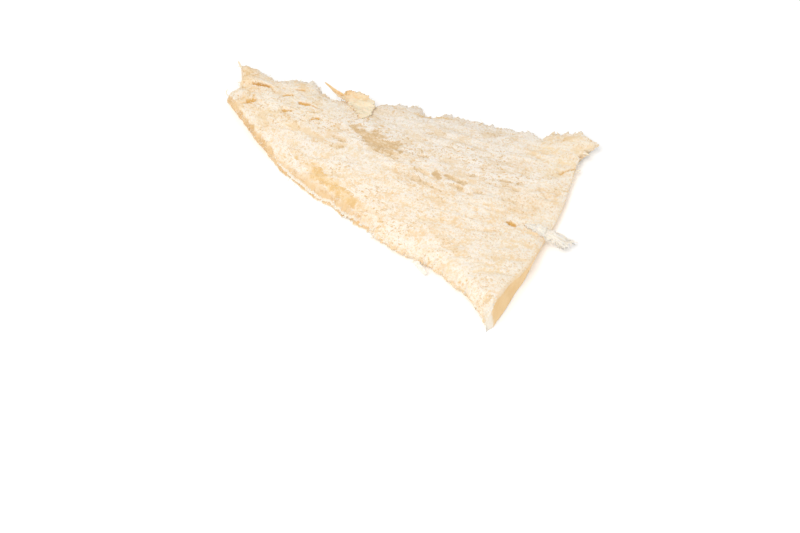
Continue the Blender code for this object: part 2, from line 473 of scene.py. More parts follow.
def edge_shift(u, v, broad=1.0):
    """How far the shape of each edge moves a point in plan.

    Each edge's stray, times broad, fades out over STRAY_REACH inwards, and its torn bits over TORN_REACH.
    Round the back corner the back and the cut share the move by their distances, and a notch parts them.
    """
    to_belly, to_back, to_tail, to_cut = edge_distances(u, v)
    cornered = 1.0 - smooth((np.hypot(to_back, to_cut) - 4.0) / 10.0)
    share = to_cut / (to_back + to_cut + 0.01)
    back_part, cut_part = mix(1.0, share, cornered), mix(1.0, 1.0 - share, cornered)
    belly_rag = mix(0.5, 1.35, smooth((u - 0.4) / 0.15)) * torn(u * 161.0, 85)
    back_rag = (0.5 + 0.95 * smooth((u - 0.06) / 0.08) + 1.5 * crest(u)) * torn(u * 148.0, 81)
    tail_rag = 0.35 * torn(v * 17.0, 93)
    cut_rag = mix(0.12, 1.3, smooth((v - 0.84) / 0.06)) * torn(v * 108.0, 89)
    edges = (
        (BELLY_OUT, to_belly, strayed(BELLY_PROFILE, u), belly_rag, 1.0),
        (BACK_OUT, to_back, strayed(BACK_PROFILE, u), back_rag, back_part),
        (TAIL_OUT, to_tail, strayed(TAIL_PROFILE, v), tail_rag, 1.0),
        (CUT_OUT, to_cut, strayed(CUT_PROFILE, v), cut_rag, cut_part),
    )
    shift = 0.0
    for out, inward, stray, rag, part in edges:
        near = part * (1.0 - smooth(inward / STRAY_REACH))
        close = part * (1.0 - smooth(inward / TORN_REACH))
        shift = shift + out * (broad * stray * near + rag * close)[..., None]
    notch = NOTCH_DEPTH * np.exp(-(to_back**2 + to_cut**2) / 5.0)
    return shift - broad * BACK_OUT * notch[..., None]


def tip_flap(x, y):
    """A flap at the tail, raised along the back of its crease, highest at the tip."""
    behind = (y + 33.6) - 0.66 * (x + 74.4)
    along = smooth((-60.0 - x) / 18.0)
    return (1.3 * along + 1.5 * smooth((-76.0 - x) / 8.0)) * smooth(behind / 1.3 + 0.3)


def belly_slope(u):
    """Radius of the rounding over the belly edge, and the share of the height left at its rim."""
    steep = smooth((0.34 - u) / 0.16)
    corner = smooth((u - 0.70) / 0.14)
    point = smooth((u - 0.925) / 0.06)
    radius = mix(mix(mix(9.0, 2.0, steep), 4.5, corner), 6.0, point)
    return radius, mix(mix(mix(0.40, 0.82, steep), 0.46, corner), 0.16, point)


def honey_band(u, inward):
    """Bare golden flesh along the belly edge: a tight band by the tail, a broad one past it, then none."""
    width = mix(1.5, 5.6, smooth((u - 0.24) / 0.12))
    strength = mix(0.9, 0.0, smooth((u - 0.50) / 0.14))
    return strength * (1.0 - smooth(inward / width))


def top_face(u, v):
    """Points of the top face in millimetres, with the masks of its finish."""
    to_belly, to_back, to_tail, to_cut = edge_distances(u, v)
    flat = plan(u, v) + edge_shift(u, v)
    x, y = flat[..., 0], flat[..., 1]
    fall = rim_fall(to_belly, *belly_slope(u)) * rim_fall(to_back, 8.0, 0.36)
    fall = fall * rim_fall(to_tail, 4.0, 0.62) * rim_fall(to_cut, 0.9, 0.92)
    height = thickness(u, v) * fall
    relief, masks = flesh_relief(x, y)
    inside = smooth(np.minimum.reduce((to_belly, to_back, to_tail, to_cut)) / 2.5)
    height = height + relief * mix(0.45, 1.0, inside) + tip_flap(x, y)
    height = np.maximum(height, 1.1)
    z = lift(x, y) + height
    lean = cut_lean(v) * height * smooth((u - 0.90) / 0.10) ** 2
    points = np.dstack((x - CUT_OUT[0] * lean, y - CUT_OUT[1] * lean, z))
    masks["honey"] = honey_band(u, to_belly + 1.2 * layered(x, y, 4.0, 141, 4, 0.6))
    corner = 1.0 - smooth(np.hypot(x - 84.5, y + 44.5) / 7.0 + 0.5 * layered(x, y, 3.0, 143, 3))
    low_rim = smooth((u - 0.22) / 0.08) * (1.0 - smooth((u - 0.56) / 0.1)) * (1.0 - smooth(to_belly / 0.9))
    masks["white"] = np.maximum(corner, low_rim)
    masks["cut"] = 0.45 * (1.0 - smooth(to_cut / 1.6)) * (1.0 - smooth((v - 0.34) / 0.1)) * smooth(v / 0.06)
    return points, masks


def cut_lean(v):
    """Lean of the cut, as a share of its height: its foot stands out near the belly corner only."""
    return 0.15 * (1.0 - smooth((v - 0.14) / 0.10))


def grid_quads(index):
    """Corner numbers of the quads of a grid of point numbers."""
    corners = (index[:-1, :-1], index[1:, :-1], index[1:, 1:], index[:-1, 1:])
    return np.stack(corners, -1).reshape(-1, 4)


def around(index):
    """The outer numbers of a grid, once round anticlockwise from its first corner."""
    return np.concatenate((index[:-1, 0], index[-1, :-1], index[:0:-1, -1], index[0, :0:-1]))


def put_mesh(name, points, quads, triangles=None, material=None, level=True):
    """Make an object at the origin from points in millimetres and their faces."""
    mesh = bpy.data.meshes.new(name)
    groups = [quads] if triangles is None else [quads, triangles]
    corners = np.concatenate([group.ravel() for group in groups])
    sides = np.concatenate([np.full(len(group), group.shape[1]) for group in groups])
    starts = np.concatenate(((0,), np.cumsum(sides)[:-1]))
    mesh.vertices.add(len(points))
    mesh.vertices.foreach_set("co", in_frame(points).astype(np.float32).ravel())
    mesh.loops.add(len(corners))
    mesh.loops.foreach_set("vertex_index", corners.astype(np.int32))
    mesh.polygons.add(len(sides))
    mesh.polygons.foreach_set("loop_start", starts.astype(np.int32))
    mesh.polygons.foreach_set("use_smooth", np.full(len(sides), level))
    mesh.update(calc_edges=True)
    mesh.materials.append(material)
    piece = bpy.data.objects.new(name, mesh)
    bpy.context.scene.collection.objects.link(piece)
    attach(piece, "root")
    return piece


def paint(piece, name, columns):
    """Store up to three masks on the points as one colour attribute."""
    count = len(piece.data.vertices)
    values = np.ones((count, 4), np.float32)
    values[:, : len(columns)] = np.stack(columns, -1)
    layer = piece.data.attributes.new(name, "FLOAT_COLOR", "POINT")
    layer.data.foreach_set("color", values.ravel())


def lay_uv(piece, across, along):
    """Store a UV map from two numbers on each point."""
    layer = piece.data.uv_layers.new(name="grain")
    corner = np.empty(len(piece.data.loops), np.int32)
    piece.data.loops.foreach_get("vertex_index", corner)
    layer.data.foreach_set("uv", np.stack((along, across), -1)[corner].astype(np.float32).ravel())


def wall_points(rim, u, v):
    """Rows of points down the sides, from the rim of the top face to the foot, and their masks.

    The rim's torn outline fades out over the upper half of a side, where the foot's own raggedness comes in.
    Each side bulges by a half wave, is roughened by layers along it, and its foot tucks in by the square.
    """
    to_belly, to_back, to_tail, to_cut = edge_distances(u, v)
    on_belly, on_back = to_belly < 1e-6, to_back < 1e-6
    on_cut, on_tail = to_cut < 1e-6, to_tail < 1e-6
    out = BELLY_OUT * on_belly[:, None] + BACK_OUT * on_back[:, None]
    out = out + CUT_OUT * on_cut[:, None] + TAIL_OUT * on_tail[:, None]
    out = out / np.linalg.norm(out, axis=1)[:, None]
    step = np.linalg.norm(np.diff(rim[:, :2], axis=0, append=rim[:1, :2]), axis=1)
    run = np.concatenate(((0.0,), np.cumsum(step)[:-1]))
    foot = lift(rim[:, 0], rim[:, 1]) + FOOT_HEIGHT
    w = (np.arange(1, WALL_ROWS + 1) / WALL_ROWS)[:, None]
    z = mix(rim[:, 2], foot, w)
    tall = rim[:, 2] - foot
    lean = np.where(on_cut, cut_lean(v) * tall, 0.0)
    tail_side, brow = 1.0 - smooth((u - 0.24) / 0.1), smooth((u - 0.56) / 0.12)
    tuck = np.where(on_belly, mix(mix(0.5, 0.2, tail_side), 1.9, brow), 1.7)
    tuck = np.where(on_tail, 0.6, np.where(on_cut, 1.8 * smooth((v - 0.24) / 0.12), tuck))
    bulge = 0.10 * tall * np.sin(np.pi * w) * np.where(on_cut, 0.2, 1.0)
    ledge = np.where(on_belly, smooth((u - 0.2) / 0.1) * (1.0 - brow), 0.0) * smooth((w - 0.45) / 0.3)
    layers = layered(run / 7.0, z / 0.7, 1.0, 101, 3, 0.6) * np.where(on_cut, 0.08, 0.55)
    lumps = layered(run, z, 1.6, 103, 3, 0.6) * np.where(on_cut, 0.05, 0.40)
    rough = (layers + lumps) * np.sin(np.pi * np.clip(w * 1.1, 0.0, 1.0))
    shift = lean * w - tuck * w ** 2 + bulge + 0.5 * ledge + rough
    rows = np.empty((WALL_ROWS, len(rim), 3))
    loose = edge_shift(u, v, 0.0) * np.where(on_cut, 0.3, 1.0)[:, None]
    ragged = np.where(on_belly, mix(0.5, 1.25, smooth((u - 0.4) / 0.15)), np.where(on_back, 1.2, 0.0))
    loose = loose - out * (ragged * torn(run, 187))[:, None]
    rows[..., :2] = rim[:, :2] + out * shift[..., None] - loose * (0.9 * smooth(w / 0.55))[..., None]
    rows[..., 2] = z
    crumbs = smooth(0.35 + 1.8 * layered(run, z * 1.5, 3.0, 105, 4, 0.6))
    corner = (1.0 - smooth(np.hypot(rim[:, 0] - 85.0, rim[:, 1] + 46.0) / 6.0)) * on_belly
    corner = np.maximum(corner, (1.0 - smooth((v - 0.016) / 0.02)) * on_cut)
    edge_line = np.where(on_cut, smooth((w - 0.90) / 0.08), 0.0)
    side = np.where(on_cut, 0.0, 1.0)
    honey = np.where(on_belly, mix(1.0, 0.35, brow), 0.45) * side * (1.0 - ledge) * (1.0 - corner)
    white = np.maximum(np.maximum(ledge, corner), 0.7 * edge_line)
    return rows, {
        "crust": crumbs * side * 0.7,
        "bare": 0.25 * honey,
        "gold": 0.3 * side * np.ones_like(z),
        "cut": np.where(on_cut, 1.0 - smooth((v - 0.84) / 0.06), 0.0) * smooth(tall / 2.0) * np.ones_like(z),
        "honey": honey * np.ones_like(z),
        "white": white * np.ones_like(z),
    }


def under_points(foot, middle):
    """Rings that draw the foot of the sides in to the slab's middle line."""
    w = (np.arange(1, UNDER_RINGS + 1) / (UNDER_RINGS + 1))[:, None, None]
    return mix(foot, middle, w)


def make_flesh(material):
    """The slab's flesh: a top face, sides round it and a closed underside, as one shell."""
    u, v = np.meshgrid(np.linspace(0, 1, STATIONS), np.linspace(0, 1, LINES), indexing="ij")
    top, masks = top_face(u, v)
    index = np.arange(STATIONS * LINES).reshape(STATIONS, LINES)
    loop = around(index)
    rim_u, rim_v = u.ravel()[loop], v.ravel()[loop]
    rim = top.reshape(-1, 3)[loop]
    walls, sides = wall_points(rim, rim_u, rim_v)
    station = np.clip(loop // LINES, STATIONS // 10, STATIONS - 1 - STATIONS // 10)
    line_u = np.linspace(0, 1, STATIONS)
    line = plan(line_u, np.full(STATIONS, 0.5))
    spine = np.column_stack((line, lift(line[:, 0], line[:, 1]) + FOOT_HEIGHT))
    under = under_points(walls[-1], spine[station])
    count = len(loop)
    wall_index = len(top.reshape(-1, 3)) + np.arange((WALL_ROWS + UNDER_RINGS) * count)
    wall_index = np.concatenate((loop[None], wall_index.reshape(-1, count)))
    spine_start = wall_index[-1, -1] + 1
    spine_index = spine_start + station - station.min()
    rows = np.concatenate((wall_index, spine_index[None]))
    ahead = np.roll(rows, -1, axis=1)
    strip = np.stack((rows[:-1], rows[1:], ahead[1:], ahead[:-1]), -1).reshape(-1, 4)
    folded = strip[:, 1] == strip[:, 2]
    quads = np.concatenate((grid_quads(index), strip[~folded]))
    points = np.concatenate(
        (
            top.reshape(-1, 3),
            walls.reshape(-1, 3),
            under.reshape(-1, 3),
            spine[station.min() : station.max() + 1],
        )
    )
    piece = put_mesh("salted_flesh", points, quads, strip[folded][:, (0, 1, 3)], material)
    rest = len(points) - top.shape[0] * top.shape[1] - walls.shape[0] * walls.shape[1]

    def joined(name):
        """One mask over the whole shell: top face, sides, then nothing underneath."""
        on_top = masks.get(name, np.zeros_like(u))
        on_wall = sides.get(name, np.zeros(walls.shape[:2]))
        return np.concatenate((on_top.ravel(), on_wall.ravel(), np.zeros(rest)))

    paint(piece, "salting", [joined(name) for name in ("crust", "bare", "gold")])
    # Crease tint (partly painted shade), nicks and the cut face.
    paint(piece, "wear_and_crease_shade", [joined(name) for name in ("crease", "nick", "cut")])
    paint(piece, "edging", [joined(name) for name in ("honey", "white", "frost")])
    paint(piece, "weave", [joined("silky"), joined("worn")])
    x, y, z = points.T
    lay_uv(piece, across_grain(x, y) + z, along_grain(x, y))
    return piece, top, masks


# ---------------------------------------------------------------- shader building


class Shade:
    """A shader socket. Arithmetic on it adds Math nodes to the same material."""

    def __init__(self, tree, socket=None):
        self.tree = tree
        self.socket = socket

    def add(self, kind, settings=None, inputs=None, output=0):
        """Add a node: its settings first, then the values or links of its sockets."""
        node = self.tree.nodes.new(kind)
        for name, value in (settings or {}).items():
            setattr(node, name, value)
        for name, value in (inputs or {}).items():
            if isinstance(value, Shade):
                self.tree.links.new(value.socket, node.inputs[name])
            else:
                node.inputs[name].default_value = value
        return Shade(self.tree, node.outputs[output] if len(node.outputs) else None)

    def sum_of(self, operation, first, second):
        """A Math node on two values, either of them a socket or a number."""
        return self.add("ShaderNodeMath", {"operation": operation}, {0: first, 1: second})

    def __add__(self, other):
        return self.sum_of("ADD", self, other)

    def __sub__(self, other):
        return self.sum_of("SUBTRACT", self, other)

    def __rsub__(self, other):
        return self.sum_of("SUBTRACT", other, self)

    def __mul__(self, other):
        return self.sum_of("MULTIPLY", self, other)

    __radd__ = __add__
    __rmul__ = __mul__

    def clamped(self):
        """This value held between 0 and 1."""
        return self.add("ShaderNodeClamp", None, {"Value": self})

    def between(self, low, high):
        """Smooth rise from 0 at low to 1 at high."""
        settings = {"interpolation_type": "SMOOTHSTEP"}
        return self.add("ShaderNodeMapRange", settings, {"Value": self, "From Min": low, "From Max": high})

    def tint(self, first, second):
        """Blend two colours by this value."""
        return self.add("ShaderNodeMix", {"data_type": "RGBA"}, {0: self, 6: first, 7: second}, 2)


def colour(red, green, blue):
    """A display colour, 0 to 255 a channel, as linear light."""
    parts = [c / 255.0 for c in (red, green, blue)]
    linear = [c / 12.92 if c <= 0.04045 else ((c + 0.055) / 1.055) ** 2.4 for c in parts]
    return (*linear, 1.0)


def new_material(name):
    """An empty material, and the shader builder for its tree."""
    material = bpy.data.materials.new(name)
    material.use_nodes = True
    material.node_tree.nodes.clear()
    return material, Shade(material.node_tree)


def masks_of(shade, name):
    """The three masks kept in a colour attribute."""
    stored = shade.add("ShaderNodeAttribute", {"attribute_name": name}, None, "Color")
    return [shade.add("ShaderNodeSeparateColor", None, {"Color": stored}, k) for k in range(3)]


def noise(shade, where, scale, detail=3.0, rough=0.55):
    """Procedural noise from 0 to 1, its scale in features a metre."""
    inputs = {"Vector": where, "Scale": scale, "Detail": detail, "Roughness": rough}
    return shade.add("ShaderNodeTexNoise", None, inputs, 0)


def surface(shade, base, rough, normal=None, **fixed):
    """Finish a material with a Principled shader."""
    inputs = {"Base Color": base, "Roughness": rough}
    if normal is not None:
        inputs["Normal"] = normal
    inputs.update({name.replace("_", " "): value for name, value in fixed.items()})
    shader = shade.add("ShaderNodeBsdfPrincipled", None, inputs)
    shade.add("ShaderNodeOutputMaterial", None, {"Surface": shader})


def bump(shade, height, distance, strength=1.0):
    """A Bump node: height from 0 to 1, its full depth in metres."""
    inputs = {"Height": height, "Distance": distance, "Strength": strength}
    return shade.add("ShaderNodeBump", None, inputs)


def flesh_material():
    """Dry cream flesh under fine salt: honey where bare, waxy on the cut, and darker orange in its creases,
    partly golden flesh and partly painted shade.
    """
    material, shade = new_material("salted_flesh")
    place = shade.add("ShaderNodeTexCoord", None, None, "Object")
    grain = shade.add("ShaderNodeUVMap", {"uv_map": "grain"})
    stretched = shade.add("ShaderNodeMapping", None, {"Vector": grain, "Scale": (0.11, 1.0, 1.0)})
    crust, bare, gold = masks_of(shade, "salting")
    crease, nick, cut = masks_of(shade, "wear_and_crease_shade")
    honey, white, frost = masks_of(shade, "edging")
    silky, worn = masks_of(shade, "weave")[:2]

    cloudy = noise(shade, place, 60.0, 3.0, 0.55)
    coarse = noise(shade, place, 150.0, 3.0, 0.6)
    mottle = noise(shade, place, 430.0, 4.0, 0.7)
    powder = noise(shade, place, 1000.0, 3.0, 0.75)
    dust = noise(shade, place, 1900.0, 2.0, 0.7)
    thread = noise(shade, stretched, 0.7, 4.0, 0.62)
    fine_thread = noise(shade, stretched, 2.0, 3.0, 0.6)
    grains = powder.between(0.44, 0.56) * 0.6 + dust.between(0.42, 0.58) * 0.4 - 0.5
    patches = mottle.between(0.38, 0.62) - 0.5

    flesh = cloudy.between(0.35, 0.65).tint(colour(244, 220, 182), colour(243, 213, 171))
    flesh = (frost * 0.7).tint(flesh, colour(236, 217, 190))
    salt = frost.tint(colour(252, 242, 227), colour(249, 241, 230))
    uneven = grains * 1.25 + patches * 0.95 + (coarse - 0.5) * 2.0 + (thread - 0.5) * (silky * 1.1 + 0.35)
    base = (crust * 0.85 + uneven + 0.06).clamped().tint(flesh, salt)
    peach = mottle.between(0.56, 0.68) * 0.42 + thread.between(0.58, 0.72) * (silky * 0.30 + 0.05)
    base = peach.clamped().tint(base, colour(241, 211, 166))
    base = (fine_thread.between(0.60, 0.75) * (silky * 0.30 + 0.08)).tint(base, colour(226, 190, 138))
    amber = mottle.between(0.35, 0.65).tint(colour(245, 214, 164), colour(235, 195, 134))
    base = (gold * 1.8 + grains * 0.8 + patches * 0.9 - 0.70).clamped().tint(base, amber)
    base = (nick * 1.5 + grains * 1.0 - 0.35).clamped().tint(base, colour(229, 190, 134))
    speck = noise(shade, place, 800.0, 2.0, 0.6).between(0.60, 0.67)
    base = (speck * (worn * 0.75 + 0.1)).tint(base, colour(219, 184, 134))
    tan = mottle.between(0.3, 0.7).tint(colour(229, 198, 154), colour(216, 182, 134))
    base = (bare * 2.7 + grains * 2.3 + patches * 1.5 - 1.20).clamped().tint(base, tan)
    side = coarse.between(0.35, 0.65).tint(colour(238, 204, 156), colour(226, 186, 132))
    base = (honey * 1.9 + grains * 0.7 + patches * 0.6 - 0.60).clamped().tint(base, side)
    waxy = coarse.between(0.3, 0.7).tint(colour(249, 213, 158), colour(242, 202, 142))
    base = cut.tint(base, waxy)
    # Creases tinted darker orange: partly the golden flesh inside them, partly painted shade.
    base = (crease * 1.5).clamped().tint(base, colour(223, 179, 107))
    base = (white * 1.6 + grains * 0.8 - 0.45).clamped().tint(base, colour(248, 237, 219))

    rough = 0.86 - bare * 0.2 - cut * 0.28 - honey * 0.18
    relief = powder * 0.9 + dust * 0.4 + mottle * 0.6 + thread * silky * 0.5 + fine_thread * silky * 0.4
    normal = bump(shade, relief, 0.0003, 0.6)
    surface(
        shade,
        base,
        rough,
        normal,
        Subsurface_Weight=0.10,
        Subsurface_Radius=(0.8, 0.65, 0.45),
        Subsurface_Scale=0.0008,
    )
    return material


def salt_material():
    """Coarse white salt, slightly see-through at its edges."""
    material, shade = new_material("salt")
    place = shade.add("ShaderNodeTexCoord", None, None, "Object")
    base = noise(shade, place, 700.0).between(0.3, 0.7).tint(colour(252, 247, 238), colour(243, 230, 210))
    rough = noise(shade, place, 900.0) * 0.3 + 0.25
    surface(
        shade,
        base,
        rough,
        None,
        Subsurface_Weight=0.3,
        Subsurface_Radius=(1.0, 0.9, 0.8),
        Subsurface_Scale=0.001,
    )
    return material


def skin_material():
    """Dry grey-brown skin, mottled, with a bloom of salt."""
    material, shade = new_material("fish_skin")
    place = shade.add("ShaderNodeTexCoord", None, None, "Object")
    blotch = noise(shade, place, 120.0, 5.0, 0.6)
    fleck = noise(shade, place, 620.0, 4.0, 0.65)
    bloom = noise(shade, place, 260.0, 6.0, 0.7)
    base = blotch.between(0.35, 0.65).tint(colour(150, 132, 106), colour(104, 90, 70))
    base = fleck.between(0.52, 0.66).tint(base, colour(70, 60, 48))
    base = (bloom.between(0.46, 0.70) * 0.8).tint(base, colour(226, 217, 202))
    edge = masks_of(shade, "salting")[0]
    base = (edge * 0.9).tint(base, colour(240, 226, 202))
    normal = bump(shade, fleck + bloom * 0.5, 0.0004, 0.9)
    surface(shade, base, bloom * 0.2 + 0.62, normal)
    return material


def flake_material():
    """Thin dried flesh: honey-orange where ripe, cream where pale, with darker spots and, on the curled
    scrap, painted shadow dots along its near rim.
    """
    material, shade = new_material("dried_flake")
    place = shade.add("ShaderNodeTexCoord", None, None, "Object")
    ripe, pale, spots_and_rim_shadow = masks_of(shade, "flake")
    speck = noise(shade, place, 1500.0, 3.0, 0.6)
    mottle = noise(shade, place, 420.0, 4.0, 0.6)
    base = (ripe + (mottle - 0.5) * 0.8).clamped().tint(colour(252, 232, 198), colour(237, 195, 132))
    # Darker spots, and the painted shadow dots along the curled scrap's near rim.
    base = (spots_and_rim_shadow * 0.8).clamped().tint(base, colour(220, 158, 84))
    base = (pale + (speck - 0.5) * 0.7).clamped().tint(base, colour(253, 245, 232))
    surface(
        shade,
        base,
        pale * 0.2 + 0.6,
        bump(shade, speck + mottle, 0.0003, 0.6),
        Subsurface_Weight=0.2,
        Subsurface_Radius=(0.8, 0.6, 0.4),
        Subsurface_Scale=0.001,
    )
    return material


def board_material():
    """Plain pale floor."""
    material, shade = new_material("board")
    surface(
        shade,
        (0.97, 0.97, 0.97, 1.0),
        0.8,
        None,
        Emission_Color=(1.0, 1.0, 1.0, 1.0),
        Emission_Strength=0.12,
    )
    return material


# ---------------------------------------------------------------- skin

SKIN_STATIONS = 230
SKIN_LINES = 130
SKIN_THICK = 0.55
SKIN_INSET = 3.0
INSET_REACH = 12.0


def thick_sheet(name, middle, thick, material):
    """A closed thin shell: a grid of points pushed half its thickness to each side, joined at the rim."""
    along, across = np.gradient(middle, axis=0), np.gradient(middle, axis=1)
    normal = np.cross(along, across)
    normal = normal / np.maximum(np.linalg.norm(normal, axis=2), 1e-9)[..., None]
    half = 0.5 * np.asarray(thick)[..., None] * normal
    count = middle.shape[0] * middle.shape[1]
    upper = np.arange(count).reshape(middle.shape[:2])
    lower = upper + count
    rim, under = around(upper), around(lower)
    band = np.stack((rim, under, np.roll(under, -1), np.roll(rim, -1)), -1)
    quads = np.concatenate((grid_quads(upper), grid_quads(lower)[:, ::-1], band))
    points = np.concatenate(((middle + half).reshape(-1, 3), (middle - half).reshape(-1, 3)))
    return put_mesh(name, points, quads, None, material)


def make_skin(material):
    """The skin under the slab: a thin shell with a shallow net of wrinkles.

    It follows the broad outline without its torn bits, drawn in by SKIN_INSET square to each edge.
    """
    u, v = np.meshgrid(np.linspace(0, 1, SKIN_STATIONS), np.linspace(0, 1, SKIN_LINES), indexing="ij")
    flat = plan(u, v) + edge_shift(u, v) - edge_shift(u, v, 0.0)
    nearest = np.minimum.reduce(edge_distances(u, v))
    x, y = flat[..., 0], flat[..., 1]
    wrinkle = 0.10 * np.abs(layered(along_grain(x, y) * 0.5, across_grain(x, y), 2.4, 121, 3))
    z = lift(x, y) + 0.42 + wrinkle + 0.25 * (1.0 - smooth(nearest / 2.0))
    for out, inward in zip((BELLY_OUT, BACK_OUT, TAIL_OUT, CUT_OUT), edge_distances(u, v)):
        flat = flat - out * (SKIN_INSET * (1.0 - smooth(inward / INSET_REACH)))[..., None]
    points = np.dstack((flat, z))
    piece = thick_sheet("fish_skin", points, SKIN_THICK * np.ones_like(z), material)
    paint(piece, "salting", [np.tile((1.0 - smooth(nearest / 3.0)).ravel(), 2)])
    return piece


# ---------------------------------------------------------------- flakes and fibres


def bent_line(corners, count):
    """Points spaced along a line of straight runs, by its length in plan."""
    corners = np.array(corners)
    step = np.linalg.norm(np.diff(corners[:, :2], axis=0), axis=1)
    run = np.concatenate(((0.0,), np.cumsum(step)))
    where = np.linspace(0.0, run[-1], count)
    return np.stack([np.interp(where, run, corners[:, k]) for k in range(3)], -1)


def ruled(first, second, rows, columns):
    """Sheet of straight rules between two bent lines."""
    across = np.linspace(0.0, 1.0, columns)[None, :, None]
    return mix(bent_line(first, rows)[:, None], bent_line(second, rows)[:, None], across)


def laid(points, top):
    """The same points with the height of the nearest flesh added to each."""
    ground = top[::3, ::3].reshape(-1, 3)
    flat = points[..., :2].reshape(-1, 1, 2)
    nearest = ((ground[None, :, :2] - flat) ** 2).sum(axis=2).argmin(axis=1)
    height = ground[nearest, 2].reshape(points.shape[:-1])
    return points + height[..., None] * (0.0, 0.0, 1.0)


def frayed(points, seed, amount, cell):
    """The same sheet, its two long rims pushed in and out in plan by noise."""
    s = np.arange(points.shape[0])[:, None] / cell
    t = np.linspace(-1.0, 1.0, points.shape[1])[None]
    push = amount * (layered(s + 0.0 * t, 0.0 * s + np.sign(t) * 7.3, 1.0, seed, 3, 0.7)) * np.abs(t)
    side = points[:, -1:] - points[:, :1]
    side = side / np.maximum(np.linalg.norm(side, axis=2), 1e-6)[..., None]
    return points + side * (push * np.sign(t))[..., None]


def paint_twice(piece, name, columns):
    """Paint the masks of a sheet's grid on both of its faces."""
    paint(piece, name, [np.tile(column.ravel(), 2) for column in columns])


FLAKE_ROWS = 120
FLAKE_LANES = 30

# The two long rims of the scrap on the back edge, heights last: a narrow spike first, then its broad body.
FLAKE_NEAR = (
    (-53.4, -10.2, 6.8), (-48.4, -10.6, 6.8), (-44.0, -11.0, 6.8), (-40.6, -10.8, 6.9),
    (-36.3, -11.1, 7.0), (-30.6, -12.7, 8.1), (-27.6, -14.1, 8.6), (-25.3, -13.4, 8.8),
)
FLAKE_FAR = (
    (-53.2, -9.8, 6.9), (-48.3, -9.5, 7.0), (-43.8, -8.9, 7.0), (-41.9, -8.2, 7.0),
    (-43.4, -6.2, 7.0), (-40.9, -4.8, 7.0), (-38.4, -2.4, 6.9), (-35.5, -2.2, 7.0),
    (-31.6, -2.4, 7.0), (-28.7, -3.6, 7.0), (-27.8, -5.4, 7.5), (-24.9, -9.5, 8.2),
)


def make_curled_flake(top, material):
    """A dried scrap on the back edge: a sheet ruled between two bent lines, lying on the flesh."""
    s = np.linspace(0.0, 1.0, FLAKE_ROWS)[:, None]
    t = np.linspace(0.0, 1.0, FLAKE_LANES)[None]
    fringe = 0.25 + 0.95 * smooth((s - 0.25) / 0.2)
    sheet = frayed(ruled(FLAKE_NEAR, FLAKE_FAR, FLAKE_ROWS, FLAKE_LANES), 151, fringe, 3.0)
    x, y = sheet[..., 0], sheet[..., 1]
    ripples = 0.5 * layered(x, y, 3.6, 153, 3, 0.6) - 0.7 * np.sin(np.pi * t) * smooth(s * 3.0) * (1.0 - s)
    ground = laid(sheet * (1.0, 1.0, 0.0), top)[..., 2]
    sheet[..., 2] = np.maximum(sheet[..., 2] + ripples * np.minimum(s * 4.0, 1.0), ground + 0.35)
    piece = thick_sheet("curled_flake", sheet, 0.3 + 0.25 * smooth(s * 2.0) + 0.0 * t, material)
    ripe = np.clip(1.35 - 2.1 * s + 0.9 * t * (1.0 - s) + 0.8 * layered(x, y, 3.0, 155, 3), 0.0, 1.0)
    spots = smooth((layered(x, y, 1.5, 157, 3) - 0.22) / 0.2)
    # Painted shadow: dark dots along the near rim of the scrap's body, where it lies on the flesh.
    near_rim = smooth((s - 0.5) / 0.15) * (1.0 - smooth(t / 0.14))
    rim_shadow_dots = smooth((layered(x, y, 1.1, 159, 2) - 0.05) / 0.2) * near_rim
    paint_twice(piece, "flake", (ripe, 0.12 * np.ones_like(x), np.maximum(spots * ripe, rim_shadow_dots)))


def make_tubes(name, paths, radii, material, look, sides=5):
    """Fibres: rings of points round each path, drawn to a point at both ends, all in one object."""
    count, rings = radii.shape[0], radii.shape[1] - 2
    ahead = np.gradient(paths, axis=1)
    ahead = ahead / np.linalg.norm(ahead, axis=2)[..., None]
    side = np.cross(ahead, (0.31, 0.22, 0.93))
    side = side / np.linalg.norm(side, axis=2)[..., None]
    up = np.cross(side, ahead)
    turn = np.arange(sides) * (2.0 * np.pi / sides)
    ring = np.cos(turn)[:, None] * side[:, :, None] + np.sin(turn)[:, None] * up[:, :, None]
    round_path = paths[:, 1:-1, None] + ring[:, 1:-1] * radii[:, 1:-1, None, None]
    points = np.concatenate((round_path.reshape(count, -1, 3), paths[:, (0, -1)]), axis=1)
    start = (np.arange(count) * points.shape[1])[:, None, None]
    grid = np.arange(rings * sides).reshape(rings, sides)
    ahead_grid = np.roll(grid, -1, axis=1)
    quads = np.stack((grid[:-1], grid[1:], ahead_grid[1:], ahead_grid[:-1]), -1).reshape(1, -1, 4)
    first, last = rings * sides, rings * sides + 1
    root = np.stack((np.full(sides, first), grid[0], ahead_grid[0]), -1)
    tip = np.stack((np.full(sides, last), ahead_grid[-1], grid[-1]), -1)
    ends = np.concatenate((root, tip))[None]
    quads, ends = (quads + start).reshape(-1, 4), (ends + start).reshape(-1, 3)
    piece = put_mesh(name, points.reshape(-1, 3), quads, ends, material)
    paint(piece, "flake", [np.full(count * points.shape[1], value) for value in look])
    return piece


TUFT_ROWS = 80
TUFT_LANES = 26

# The two long rims of the torn band, from its root on the slab to its loose end past the cut.
TUFT_BACK = (
    (59.1, -1.9, 6.0), (61.1, 0.0, 5.8), (63.9, 1.8, 5.5), (66.5, 3.1, 5.2),
    (69.5, 4.5, 4.8), (72.6, 5.0, 4.2), (76.2, 6.4, 3.4),
)
TUFT_FRONT = (
    (59.2, -2.9, 6.0), (62.0, -2.4, 5.8), (64.6, -1.8, 5.5), (66.9, -1.2, 5.2),
    (69.8, -0.4, 4.7), (73.0, 0.5, 4.1), (76.6, 0.9, 3.4),
)


